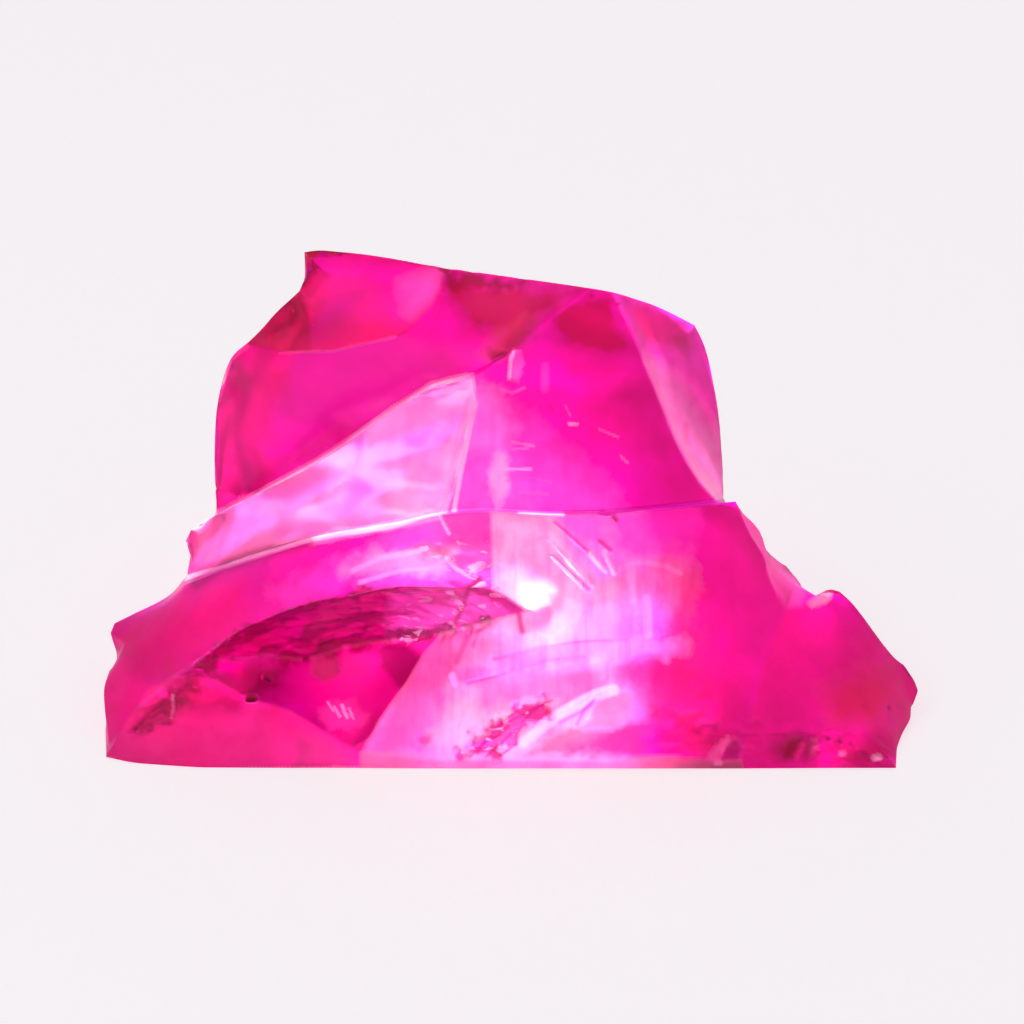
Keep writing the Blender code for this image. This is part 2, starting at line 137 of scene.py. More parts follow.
# Noise of the skin's shape and of its patches' borders: the size of its bumps each way in millimetres,
# and a shift that sets each kind apart from the others
GRAINS = {
    "border": ((0.5, 0.5, 0.5), 0.0),
    "fine_border": ((0.18, 0.18, 0.18), 7),
    "bumps": ((1.1, 1.1, 1.1), 3),
    "fine_bumps": ((0.35, 0.35, 0.35), 11),
    "chips": ((0.9, 0.5, 0.5), 19),
    "splinters": ((0.35, 0.25, 0.25), 23),
    "hidden": ((3.6, 3, 3), 31),
}
FINE_BORDER = 0.6  # how strong the fine raggedness of a border is beside the coarse one

# Relief
BUMP_DEPTH = 0.014 * MM
FINE_BUMP_DEPTH = 0.004 * MM
CHIP_SHARE = 0.7
SPLINTER_SHARE = 0.3
HIDDEN_DEPTH = 0.22 * MM
HIDDEN_FADE = 3  # how soon the hidden sides' scoops reach their full depth as the skin turns away
SCOOP_RIM = 0.35  # how wide the rim of a scoop is, as a share of its size
SCOOP_APART = 3.7  # spreads the scoops' middles, so that neighbours get tints of their own
SCOOP_CONTRAST = 0.4
RELIEF_FADE = 0.15 * MM  # the relief dies out over this height above the flat base

# How soft the borders of the tables below are, in pixels
FACE_SOFT = 6
FACE_FILL = 1.8  # makes a face's tint full close to its border
OWN_FACE_SOFT = 4
SMOOTH_SOFT = 40
BROKEN_SOFT = 10
BROKEN_RAGGED = 6
BROKEN_RELIEF_SOFT = 12
STREAK_SOFT = 30
FAR = 1e9  # further off than any place in the view

# Fracture faces that show from the front: corners as pixels across and down in the photo's view,
# the tint of the skin there, which is the stone's colour with each face's painted light and shade in
# it (pale where light comes through, deep where little does), and its roughness.
FACES = {
    "block": (
        "217,514 215,489 214,440 218,397 230,358 247,345 311,352 350,347 404,333 431,305 440,285"
        " 443,267 522,278 592,288 556,315 515,348 472,377 430,388 380,420 347,444 306,469 263,491",
        (0.43, 0.0, 0.15), 0.3,
    ),
    "crown": (
        "304,250 319,249 374,255 443,267 440,285 431,305 404,333 350,347 311,352 309,328 300,300",
        (0.23, 0.0, 0.037), 0.3,
    ),
    "nick": ("247,343 261,329 276,312 300,291 309,328 311,352 280,351", (0.13, 0.0, 0.009), 0.35),
    "wedge": (
        "185,578 185,541 190,530 217,512 263,490 306,467 347,442 380,418 430,386 472,375 478,404"
        " 467,448 448,512 392,524 323,536 268,551 222,566",
        (1.0, 0.9, 1.0), 0.22,
    ),
    "upper": (
        "472,375 515,348 556,315 592,288 614,292 632,329 651,377 665,411 676,439 688,462 701,483"
        " 716,501 671,506 608,512 550,513 491,510 448,512 467,448 478,404",
        (0.62, 0.0, 0.3), 0.35,
    ),
    "flank": (
        "614,292 655,305 678,316 695,325 705,345 712,372 717,400 721,430 723,462 724,500 716,499"
        " 701,483 688,462 676,439 665,411 651,377 632,329",
        (1.0, 0.01, 1.0), 0.35,
    ),
    "band": (
        "106,757 103,689 118,655 110,633 114,623 167,599 222,570 268,555 323,539 392,528 442,515"
        " 491,512 492,550 493,590 450,588 401,587 355,596 310,604 264,620 228,638 199,658 149,690"
        " 126,722",
        (0.45, 0.0, 0.28), 0.35,
    ),
    "roof": (
        "176,675 199,658 228,638 264,620 310,604 355,596 401,587 450,588 493,590 530,612 485,623"
        " 440,635 401,640 355,645 305,660 262,655 230,661",
        (0.5, 0.0, 0.08), 0.35,
    ),
    "floor": (
        "176,675 230,661 262,655 305,660 355,645 401,640 424,654 402,690 378,722 362,752 330,737"
        " 290,712 248,699 217,681",
        (0.3, 0.0, 0.08), 0.35,
    ),
    "apron": (
        "106,757 126,722 149,690 176,675 217,681 248,699 290,712 330,737 362,752 362,768 199,768"
        " 133,764",
        (0.8, 0.001, 0.16), 0.4,
    ),
    "front": (
        "491,512 550,515 608,514 671,508 724,502 736,501 754,540 765,556 770,579 785,609 765,668"
        " 757,700 748,735 740,762 525,760 428,760 362,752 378,722 402,690 424,654 440,635 485,623"
        " 530,612 493,590",
        (0.8, 0.0, 0.4), 0.34,
    ),
    "lobe": (
        "785,609 806,604 829,588 853,603 884,645 912,674 919,690 911,720 897,748 896,774 740,774"
        " 740,762 748,735 757,700 765,668",
        (0.78, 0.0, 0.2), 0.45,
    ),
    "lip": ("362,752 428,757 525,758 654,757 740,762 741,774 362,774", (0.3, 0.1, 0.12), 0.4),
    "cheek": (
        "736,501 754,523 766,548 787,565 806,590 816,595 806,604 785,609 770,579 765,556 754,540",
        (1.0, 0.0005, 0.5), 0.5,
    ),
}

# Patches of painted light and shade, some of them on chips and pits that are also sunk, later ones on
# top. One whose name starts with a face's stays on that face. Corners in the same pixels, tint, how
# strongly it covers, how soft and how ragged its border is in pixels, and how deep it is sunk in
# millimetres.
PATCHES = {
    "block_low": (
        "214,500 214,410 250,405 320,430 335,450 300,472 255,495",
        (0.8, 0.0, 0.35), 0.9, 44, 10, 0,
    ),
    "block_side": ("213,500 213,420 222,370 232,372 228,430 232,495", (1.0, 0.001, 0.4), 0.7, 8, 4, 0),
    "block_top": (
        "438,288 443,268 592,288 556,315 515,345 470,335 440,305",
        (0.1, 0.0, 0.006), 1.0, 30, 6, 0,
    ),
    "block_foot": ("236,500 300,466 345,440 360,424 330,425 270,462", (0.36, 0.0, 0.07), 0.8, 14, 6, 0),
    "crown_glow": ("320,262 410,272 432,290 400,322 320,312", (0.38, 0.0, 0.125), 0.9, 20, 6, 0),
    "crown_edge": ("400,282 432,272 440,272 434,295 415,317 405,312", (0.33, 0.006, 0.18), 0.9, 16, 2, 0),
    "top_shadow": ("443,270 522,282 516,294 480,292 447,286", (0.05, 0.0, 0.001), 0.95, 8, 9, 0.03),
    "slant_shadow": (
        "480,352 500,330 545,313 535,335 507,357 487,361",
        (0.16, 0.001, 0.01), 0.9, 12, 6, 0,
    ),
    # painted shade in a small pit, which is sunk too
    "slant_pit": ("487,349 503,347 507,355 490,361", (0.06, 0.0, 0.003), 0.9, 5, 4, 0.03),
    "upper_shadow": (
        "530,302 592,286 618,292 640,352 605,368 560,350",
        (0.19, 0.0, 0.013), 1.0, 30, 6, 0,
    ),
    "upper_deep": ("575,365 640,365 668,440 640,455 590,420", (0.42, 0.0, 0.1), 0.8, 30, 8, 0),
    "upper_glow": ("452,405 470,400 560,470 600,508 452,510", (1.0, 0.025, 0.85), 0.9, 60, 8, 0),
    "upper_pale": ("470,440 500,450 530,508 452,510", (0.9, 0.06, 0.8), 0.9, 40, 8, 0),
    "upper_left": ("470,395 490,390 512,430 500,455 460,450", (1.0, 0.2, 1.0), 0.8, 20, 6, 0),
    "upper_cell": ("494,452 504,455 508,490 496,508 490,480", (1.0, 0.9, 1.0), 0.6, 8, 4, 0),
    "chip": ("510,355 520,351 523,362 518,382 510,379", (0.6, 0.03, 0.5), 0.8, 3, 1, 0.05),
    "upper_corner": ("650,440 690,480 712,500 640,506", (0.5, 0.0, 0.16), 0.9, 30, 6, 0),
    "wedge_top": ("385,420 430,386 472,375 478,404 467,448 400,440", (1.0, 1.0, 1.0), 0.9, 40, 10, 0),
    "wedge_cell_a": ("345,455 380,440 384,470 362,492 346,480", (0.9, 0.5, 0.7), 0.5, 10, 8, 0),
    "wedge_cell_b": ("410,440 445,436 440,500 415,506", (0.9, 0.2, 0.9), 0.6, 20, 10, 0),
    "wedge_cell_c": ("395,400 430,396 440,420 410,430", (1.0, 1.0, 1.0), 0.7, 12, 8, 0),
    "wedge_left": ("200,556 200,535 225,522 262,512 270,530 225,558", (1.0, 0.9, 1.0), 0.8, 16, 8, 0),
    "wedge_white": ("292,476 330,458 347,460 332,482 300,484", (1.0, 1.0, 1.0), 1.0, 12, 4, 0),
    "wedge_nick": ("410,395 440,384 472,376 466,388 430,400", (1.0, 0.35, 0.7), 0.8, 5, 4, 0.03),
    "wedge_tip": ("184,545 187,530 199,526 196,556 187,560", (0.8, 0.03, 0.5), 0.9, 6, 2, 0),
    "wedge_foot": ("186,577 186,562 205,566 232,556 228,568 208,578", (0.9, 0.1, 0.6), 0.8, 8, 3, 0),
    "flank_top": ("621,295 655,305 690,322 696,350 640,345", (0.5, 0.0, 0.06), 0.9, 16, 4, 0),
    "flank_glow": ("646,362 668,372 722,440 724,495 712,488 690,450", (1.0, 0.3, 1.0), 0.8, 24, 3, 0),
    "flank_ridge": (
        "645,362 652,362 682,432 702,470 720,490 712,496 694,470 676,438",
        (1.0, 0.5, 1.0), 0.7, 6, 1, 0,
    ),
    "flank_dark": ("684,422 690,422 690,444 683,444", (0.6, 0.01, 0.4), 0.7, 6, 2, 0),
    # painted highlight along the ledge
    "ledge_line": ("309,541 392,525 441,516 442,519 392,529 309,545", (1.0, 0.6, 1.0), 0.8, 3, 1, 0),
    "band_left": (
        "112,625 165,602 240,580 250,610 228,640 199,660 176,677 149,692 126,724 104,757 100,690"
        " 116,655 107,633",
        (0.5, 0.0, 0.07), 0.8, 30, 8, 0,
    ),
    "band_tip": ("100,690 116,655 150,688 150,692 126,722 104,757", (0.8, 0.0, 0.2), 0.9, 14, 5, 0),
    "band_pale": ("270,592 330,562 350,566 340,590 290,604", (0.7, 0.01, 0.6), 0.7, 16, 8, 0),
    "band_glow": (
        "339,566 380,548 420,530 445,515 492,511 494,550 488,584 440,586 360,580",
        (0.6, 0.05, 0.5), 1.0, 24, 6, 0,
    ),
    "band_white": (
        "342,572 362,555 430,546 454,550 450,566 438,580 410,574",
        (0.7, 0.45, 0.5), 0.9, 12, 8, 0.02,
    ),
    "band_pink": ("400,540 445,520 490,516 488,540 440,546 405,552", (0.7, 0.012, 0.35), 0.8, 10, 6, 0),
    # painted light on the roof's broken right part, whose rough relief is real
    "roof_broken": ("388,590 450,585 503,600 520,612 470,628 388,642", (1.0, 0.04, 0.6), 1.0, 14, 10, 0),
    "roof_rose": ("322,612 372,596 386,600 384,612 350,622 318,628", (0.9, 0.004, 0.16), 0.9, 5, 8, 0),
    # painted shade along the crease between the band and the roof, which is sunk too
    "rim_dark": (
        "199,664 235,636 273,614 314,602 362,588 401,588 401,596 362,598 314,612 273,628 240,648"
        " 208,672",
        (0.08, 0.0, 0.004), 0.95, 5, 9, 0.06,
    ),
    # painted shade on a patch of the roof, which is sunk too
    "roof_patch": (
        "290,640 330,622 372,610 384,622 344,634 300,652",
        (0.1, 0.0, 0.006), 0.8, 5, 12, 0.04,
    ),
    # painted shade along the fold between the roof and the floor, which is sunk too
    "fold_dark": (
        "262,648 299,656 342,638 375,634 440,629 498,617 498,624 440,637 375,645 342,650 299,667"
        " 264,656",
        (0.08, 0.0, 0.004), 0.95, 5, 8, 0.05,
    ),
    "floor_shade": (
        "200,674 262,662 288,668 278,690 250,700 225,694",
        (0.085, 0.0, 0.008), 0.95, 16, 5, 0,
    ),
    # painted shade in two shallow dips of the floor, which are sunk too
    "floor_oval": ("309,658 337,658 338,672 325,682 312,674", (0.16, 0.002, 0.02), 0.9, 4, 2, 0.03),
    "floor_dark": (
        "374,646 402,643 426,656 404,694 394,682 380,664",
        (0.06, 0.0, 0.012), 0.95, 6, 4, 0.02,
    ),
    # painted shade in a fold at the floor's foot, which is sunk too
    "floor_fold": (
        "328,745 345,734 360,726 375,710 380,720 366,754 350,752",
        (0.22, 0.0, 0.05), 0.95, 5, 3, 0.02,
    ),
    "floor_foot": ("318,706 352,702 366,714 352,728 330,730", (0.5, 0.004, 0.2), 0.6, 8, 8, 0),
    # painted shade along a seam, which is sunk too
    "seam_dark": ("135,728 160,700 185,682 195,690 172,712 150,728", (0.2, 0.0, 0.03), 0.8, 6, 12, 0.04),
    "apron_glow": ("150,745 250,712 300,745 290,762 150,762", (0.85, 0.004, 0.22), 0.8, 20, 4, 0),
    # painted shade in the fold between the floor and the apron
    "apron_fold": (
        "170,690 180,676 217,682 250,700 240,712 190,712 165,705",
        (0.25, 0.0, 0.02), 0.9, 16, 4, 0,
    ),
    "apron_right": (
        "295,735 318,735 345,752 360,760 360,768 295,768",
        (0.25, 0.004, 0.08), 0.9, 16, 4, 0,
    ),
    "front_deep": (
        "700,508 736,503 770,580 785,612 765,668 757,700 740,755 690,755 680,640",
        (0.82, 0.0, 0.32), 1.0, 50, 10, 0,
    ),
    "front_glow": (
        "492,500 560,518 612,560 670,570 660,640 640,690 600,760 420,757 400,690 440,636 480,625"
        " 480,590",
        (0.7, 0.38, 0.45), 0.95, 60, 10, 0,
    ),
    "front_white": ("494,520 545,524 566,556 545,640 500,625", (1.0, 1.0, 1.0), 0.9, 44, 12, 0),
    "front_hot": ("520,540 556,536 584,566 582,622 556,644 520,612", (1.0, 1.0, 1.0), 1.0, 40, 6, 0),
    "front_mid": ("560,595 636,595 640,655 600,662 560,650", (0.5, 0.14, 0.24), 0.8, 30, 10, 0),
    "front_violet": (
        "630,560 672,566 690,640 670,680 632,690 620,640",
        (0.8, 0.012, 0.33), 0.8, 40, 12, 0,
    ),
    "front_rim": ("560,516 640,514 660,560 600,580 575,560", (1.0, 0.2, 1.0), 0.8, 16, 6, 0),
    "front_sag": ("556,516 600,514 600,540 575,540", (0.9, 0.03, 0.8), 0.7, 12, 6, 0),
    "front_foot_glow": ("385,700 400,690 600,680 600,760 370,757", (0.5, 0.42, 0.2), 0.9, 40, 10, 0),
    "front_shade": (
        "395,690 440,640 462,660 440,720 425,757 365,757",
        (0.5, 0.015, 0.17), 0.85, 20, 8, 0,
    ),
    "front_top": ("610,514 700,508 690,560 650,556 618,550", (0.95, 0.004, 0.6), 0.85, 14, 6, 0),
    "front_dim": ("620,636 690,636 700,690 640,700 615,670", (0.4, 0.002, 0.08), 0.9, 26, 10, 0),
    # painted shade low on the front's right
    "front_hollow": ("672,650 735,650 748,728 700,738 664,712", (0.55, 0.0, 0.1), 0.85, 36, 8, 0),
    "front_turn": (
        "650,625 690,580 705,640 700,735 640,735 636,700 644,660",
        (0.7, 0.0003, 0.045), 0.95, 36, 10, 0,
    ),
    "front_lower": (
        "470,672 560,662 620,672 610,700 540,704 480,712",
        (0.55, 0.05, 0.17), 0.85, 16, 8, 0,
    ),
    "front_streak": (
        "450,676 510,650 600,640 690,640 690,655 600,662 514,672 455,686",
        (0.6, 0.1, 0.35), 0.7, 10, 8, 0,
    ),
    "front_foot": ("590,735 640,722 740,735 740,757 560,757", (0.5, 0.0, 0.07), 0.95, 14, 6, 0),
    "front_low": ("560,728 592,722 640,725 650,757 520,757", (0.25, 0.001, 0.03), 0.9, 14, 6, 0),
    "front_beside": (
        "500,735 530,715 560,700 600,690 640,690 640,700 590,712 540,745",
        (0.4, 0.04, 0.12), 0.6, 10, 6, 0,
    ),
    # painted shade over the jagged broken part of the front's foot, which is sunk too
    "jagged": (
        "498,722 543,703 552,712 520,735 488,757 460,757 470,742",
        (0.14, 0.001, 0.09), 0.95, 5, 16, 0.06,
    ),
    "pale_chip": (
        "582,731 596,704 624,690 635,694 627,722 612,731",
        (0.35, 0.09, 0.11), 0.95, 3, 2, 0.04,
    ),
    # painted shade in small dips at the foot, which are sunk too
    "small_dark_a": ("418,735 431,733 430,745 420,745", (0.2, 0.002, 0.05), 0.8, 4, 5, 0.03),
    "foot_dark_a": ("673,712 697,714 697,728 678,726", (0.08, 0.0, 0.01), 0.8, 6, 5, 0.06),
    "foot_dark_b": ("697,720 718,722 716,731 699,730", (0.1, 0.0, 0.02), 0.8, 5, 4, 0.05),
    "foot_dark_c": ("699,689 713,690 712,698 700,697", (0.15, 0.0, 0.03), 0.7, 5, 3, 0.02),
    "foot_stub": ("707,760 716,745 728,736 730,742 720,756 716,764", (1.0, 0.08, 0.45), 0.8, 3, 2, 0),
    # painted shade in a notch and a pit, which are sunk too
    "foot_notch": ("722,760 727,744 738,739 743,748 740,761", (0.26, 0.0, 0.08), 0.9, 4, 3, 0.1),
    "foot_pit": ("783,750 790,740 801,739 803,749 794,758 785,757", (0.1, 0.0, 0.015), 0.95, 4, 2, 0.15),
    "foot_ring": ("808,748 812,738 818,738 816,750 811,755", (1.0, 0.05, 0.35), 0.7, 3, 1, 0.03),
    "lobe_brown": (
        "822,690 860,672 890,668 893,700 875,725 835,722",
        (0.65, 0.001, 0.035), 0.9, 24, 6, 0,
    ),
    # painted shade low on the lobe's left
    "lobe_pit": ("770,742 800,732 822,740 815,762 775,762", (0.15, 0.0, 0.004), 0.8, 12, 4, 0),
    "lobe_low": ("830,735 895,735 897,765 830,765", (0.45, 0.0, 0.026), 0.8, 16, 4, 0),
    "lobe_top": ("804,600 820,591 833,590 826,602 812,608", (0.7, 0.2, 0.4), 0.8, 4, 2, 0),
    # painted shade in a small dip at the lobe's tip, which is sunk too
    "lobe_tip": ("903,667 909,669 914,676 910,677", (0.08, 0.0, 0.02), 0.9, 3, 1, 0.03),
    "cheek_glow": ("768,556 787,566 806,592 800,606 784,606", (1.0, 0.02, 0.45), 0.9, 5, 2, 0),
}

# Fine marks, many of them painted highlights and painted shade along grooves, ledges and pits: points
# along each one, width in pixels, tint, how strongly it covers, and depth in millimetres.
STROKES = {
    # painted highlight along the rib, beside a strip of painted shade
    "rib": ("475,404 470,425 466,448 460,475 454,510", 4, (1.0, 1.0, 1.0), 0.9, 0.0),
    "rib_shade": ("466,400 461,425 456,448 450,475 444,508", 7, (0.9, 0.25, 0.7), 0.5, 0.02),
    "brow": ("280,353 333,351 362,344 395,337", 2.5, (0.6, 0.02, 0.25), 0.5, 0.0),
    "block_rim": ("219,400 230,360 247,346", 3, (0.8, 0.04, 0.4), 0.5, 0.0),
    "crown_rim": ("305,253 304,280", 3, (0.8, 0.1, 0.4), 0.6, 0.0),
    # painted highlight on the side of a chip, which is sunk too
    "chip_side_highlight": ("514,351 510,360 509,378", 2.5, (1.0, 0.6, 0.95), 0.8, 0.04),
    "chip_foot": ("499,389 512,393 524,388", 2, (1.0, 0.1, 0.7), 0.35, 0.01),
    "chip_line": ("545,366 545,389", 6, (0.8, 0.01, 0.6), 0.4, 0.0),
    "mark_a": ("566,406 570,416", 1.6, (0.8, 0.05, 0.6), 0.4, 0.01),
    "mark_b": ("569,424 578,424", 2, (1.0, 0.7, 1.0), 0.7, 0.01),
    "mark_c": ("599,429 618,437", 1.6, (0.9, 0.08, 0.7), 0.4, 0.01),
    "mark_d": ("621,456 628,463", 1.8, (0.9, 0.15, 0.8), 0.5, 0.01),
    "mark_e": ("549,405 554,410", 3, (0.3, 0.0, 0.12), 0.6, 0.02),
    "mark_f": ("563,414 569,410", 3, (0.25, 0.0, 0.08), 0.6, 0.02),
    "line_a": ("512,442 534,446", 2, (1.0, 0.5, 0.9), 0.5, 0.01),
    "line_b": ("505,469 531,469", 2, (1.0, 0.9, 1.0), 0.7, 0.01),
    "line_c": ("505,481 530,477 552,482", 2, (0.8, 0.05, 0.5), 0.5, 0.01),
    "line_d": ("520,492 548,494", 2, (0.8, 0.08, 0.6), 0.5, 0.01),
    "line_e": ("513,449 528,448", 1.6, (1.0, 0.4, 0.9), 0.4, 0.01),
    # Painted shade along the ledge's edge, with a painted highlight on it and painted shade in a small chip,
    # which is sunk
    "ledge_left_shade": ("196,582 222,566 268,551 309,542", 14, (0.14, 0.0, 0.06), 0.95, 0.0),
    "ledge_mid_shade": ("442,515 470,511 491,510 515,511", 4, (0.2, 0.003, 0.14), 0.8, 0.0),
    "ledge_right_shade": ("565,513 608,512 671,506 736,500", 5, (0.1, 0.0, 0.05), 0.85, 0.0),
    "ledge_highlight": ("520,513 563,515", 3, (1.0, 1.0, 1.0), 0.9, 0.0),
    "ledge_chip_shade": ("602,512 612,514 616,520", 5, (0.2, 0.0, 0.07), 0.9, 0.06),
    "ledge_tick": ("436,508 443,522 449,533", 2.5, (1.0, 0.7, 0.9), 0.7, 0.02),
    "middle_line": ("491,512 491,540 494,585", 2.5, (0.6, 0.04, 0.45), 0.5, 0.0),
    # painted glints, sunk a little
    "glint_a": ("352,571 380,557 420,550", 5, (1.0, 1.0, 1.0), 0.8, 0.01),
    "glint_b": ("360,582 400,570 440,566", 4, (1.0, 0.9, 1.0), 0.7, 0.01),
    "glint_c": ("446,556 456,568 466,574", 4, (1.0, 1.0, 1.0), 0.8, 0.02),
    # Painted highlights along three grooves, which are sunk too, each with a strip of painted shade beside it
    "groove_a": ("543,531 556,543 569,558 590,585", 7, (1.0, 1.0, 1.0), 1.0, 0.03),
    "groove_a_shade": ("553,555 570,572 589,590", 3, (0.6, 0.0, 0.3), 0.9, 0.05),
    "groove_b_shade": ("555,522 572,537 590,553", 3.5, (0.5, 0.0, 0.25), 0.9, 0.05),
    "groove_b": ("590,553 606,571", 4, (1.0, 1.0, 1.0), 1.0, 0.03),
    "groove_c_shade": ("600,541 610,550", 5, (0.4, 0.0, 0.2), 0.9, 0.05),
    "groove_c": ("604,551 614,572", 4, (1.0, 0.95, 1.0), 1.0, 0.03),
    "glow_border": ("616,571 630,564 645,562 665,566 680,573", 5, (1.0, 0.5, 0.95), 0.4, 0.0),
    "glow_streak_a": ("631,567 632,600", 8, (1.0, 0.5, 1.0), 0.35, 0.0),
    "glow_streak_b": ("647,598 648,635", 7, (1.0, 0.4, 1.0), 0.3, 0.0),
    "cross_line_a": ("492,658 543,648 584,643 625,642", 3, (0.8, 0.1, 0.5), 0.4, 0.015),
    "cross_line_b": ("467,682 514,670 543,662 584,658", 3, (0.8, 0.1, 0.5), 0.4, 0.015),
    # a painted highlight, sunk a little
    "highlight_spot": ("453,676 456,684", 7, (1.0, 1.0, 1.0), 0.9, 0.02),
    "spike_a": ("468,633 462,650 457,662", 6, (0.4, 0.0, 0.15), 0.8, 0.0),
    "spike_b": ("478,630 473,646", 4, (0.4, 0.0, 0.2), 0.7, 0.0),
    "spike_c": ("505,600 518,612 522,632", 6, (0.35, 0.0, 0.15), 0.9, 0.01),
    "hair_a": ("470,757 482,744 500,735", 3, (0.1, 0.0, 0.06), 0.9, 0.0),
    "hair_b": ("486,757 505,740 516,730", 2.5, (0.1, 0.0, 0.06), 0.9, 0.0),
    "hair_c": ("500,756 520,742 536,726", 3, (0.1, 0.0, 0.06), 0.9, 0.0),
    "hair_d": ("498,727 520,716 543,704", 3, (0.1, 0.0, 0.06), 0.9, 0.0),
    "hair_e": ("478,752 500,724 512,714", 2.5, (0.1, 0.0, 0.06), 0.9, 0.0),
    "hair_f": ("522,722 540,706 552,700", 2.5, (0.1, 0.0, 0.06), 0.9, 0.0),
    "roof_crack": ("480,580 468,592 462,608 455,625", 6, (0.25, 0.0, 0.06), 0.9, 0.02),
    "roof_tail": ("452,583 470,590 498,600 512,612", 6, (0.3, 0.0, 0.1), 0.9, 0.01),
    # painted highlight along a diagonal groove, which is sunk too, with painted shade beside it
    "diagonal": ("524,743 547,723 573,707 596,695 614,690", 9, (1.0, 1.0, 1.0), 1.0, 0.035),
    "diagonal_shade": ("560,722 580,712 594,700", 4, (0.6, 0.02, 0.3), 0.7, 0.03),
    "chip_shade": ("577,724 583,712 592,702", 4, (0.5, 0.0, 0.2), 0.8, 0.04),
    "seam_a": ("132,732 150,712 172,694 190,682", 4, (0.2, 0.0, 0.03), 0.8, 0.05),
    "seam_b": ("172,694 173,706 171,717", 2.5, (0.9, 0.4, 0.7), 0.6, 0.02),
    "seam_light": ("140,706 170,680 196,662 228,640", 4, (0.7, 0.01, 0.4), 0.5, 0.0),
    "scratch_a": ("328,702 333,710", 2, (1.0, 0.35, 0.8), 0.6, 0.02),
    "scratch_b": ("334,706 340,716", 2, (1.0, 0.35, 0.8), 0.6, 0.02),
    "scratch_c": ("342,705 347,717", 2.5, (1.0, 0.5, 0.85), 0.7, 0.02),
    "scratch_d": ("349,708 353,718", 2, (1.0, 0.35, 0.8), 0.6, 0.02),
    # painted shade in two pits, which are sunk too
    "pit_a_shade": ("248,698 254,698", 7, (0.02, 0.0, 0.0), 1.0, 0.1),
    "pit_b_shade": ("265,677 270,680", 5, (0.03, 0.0, 0.004), 1.0, 0.06),
    # painted shade in small pits on the lobe, which are sunk too
    "dot_a": ("828,739 830,740", 4, (0.15, 0.0, 0.04), 0.8, 0.04),
    "dot_b": ("840,741 842,742", 4, (0.15, 0.0, 0.04), 0.8, 0.04),
    "dot_c": ("851,744 853,746", 4, (0.15, 0.0, 0.04), 0.8, 0.04),
    "dot_d": ("862,752 864,754", 5, (0.15, 0.0, 0.04), 0.8, 0.04),
    "dot_e": ("889,707 890,709", 3.5, (0.15, 0.0, 0.04), 0.8, 0.03),
    "spark_a": ("842,753 844,753", 5, (1.0, 0.1, 0.5), 0.8, 0.02),
    "spark_b": ("875,757 879,756", 6, (1.0, 0.3, 0.65), 0.9, 0.03),
    "spark_c": ("716,763 720,763", 4, (1.0, 0.6, 0.85), 0.9, 0.02),
    # painted shade in two small pits on the top, which are sunk too
    "top_dot_a": ("618,304 620,304", 4, (0.08, 0.0, 0.01), 0.8, 0.03),
    "top_dot_b": ("592,295 594,295", 3, (0.1, 0.0, 0.015), 0.8, 0.02),
}

# Smoother spots, which let more light straight through: where they lie, and their roughness
SMOOTH = {
    "hot": ("526,556 548,546 578,570 576,612 552,634 528,622", 0.14),
    "wedge_white": ("296,474 330,458 345,462 330,480 300,480", 0.12),
}

# Rough fracture texture: where it lies, how deep it goes in millimetres, how strong its dark patches
# are and how strong its white flecks of painted glints are
BROKEN = {
    "roof_left": ("199,664 235,640 314,606 401,588 405,641 305,662 230,664", 0.035, 0.75, 0.0),
    "roof_right": ("395,588 450,586 493,590 530,612 485,625 395,641", 0.05, 0.6, 0.55),
    "seam": ("126,735 150,694 200,664 205,690 160,735", 0.06, 0.8, 0.0),
    "foot": ("650,706 720,714 790,717 850,730 892,737 896,768 640,760", 0.06, 0.5, 0.0),
    "jagged": ("495,715 550,698 560,720 500,757 455,757", 0.06, 0.8, 0.2),
    "band_end": ("410,545 488,540 492,590 430,590", 0.04, 0.3, 0.8),
}

# Pale and deep streaks that run up the stone: where they lie, and how strong they are
STREAKED = {
    "front": (
        "495,515 560,518 700,560 720,600 700,690 640,690 520,720 420,757 400,690 440,636 495,625",
        0.7,
    ),
    "upper": ("472,377 515,348 620,400 640,508 452,510", 0.4),
    "wedge": ("185,578 190,530 306,467 380,418 472,375 466,448 448,512 323,536", 0.2),
    "block": ("217,514 214,440 230,358 404,340 472,372 380,420 306,469", 0.5),
}


def eye_and_directions():
    ahead = Vector((0, math.cos(VIEW_RISE), -math.sin(VIEW_RISE)))
    upward = Vector((0, math.sin(VIEW_RISE), math.cos(VIEW_RISE)))
    return AIM - ahead * VIEW_DISTANCE, ahead, upward


def add_camera():
    eye, ahead, _ = eye_and_directions()
    lens = bpy.data.cameras.new("photo_view")
    lens.sensor_width = SENSOR
    lens.lens = SENSOR * VIEW_DISTANCE / (VIEW_PIXELS * STONE_WIDTH / STONE_PIXELS)
    lens.clip_start = NEAREST_SEEN
    camera = bpy.data.objects.new("photo_view", lens)
    camera.location = eye
    camera.rotation_euler = ahead.to_track_quat("-Z", "Y").to_euler()
    bpy.context.collection.objects.link(camera)
    bpy.context.scene.camera = camera


def seen_at(points):
    """Where points of the stone stand in the photo's view, in its pixels."""
    eye, ahead, upward = eye_and_directions()
    away = points - np.array(eye)
    distance = away @ np.array(ahead)
    scale = VIEW_DISTANCE * STONE_PIXELS / STONE_WIDTH / distance
    across = VIEW_PIXELS / 2 + away[:, 0] * scale
    down = VIEW_PIXELS / 2 - (away @ np.array(upward)) * scale
    return np.stack([across, down], axis=1)


def facing(points, normals):
    """About 1 where the skin faces the photo's camera, 0 where it is edge on, below 0 where hidden."""
    return ((np.array(eye_and_directions()[0]) - points) * normals).sum(axis=1) / VIEW_DISTANCE


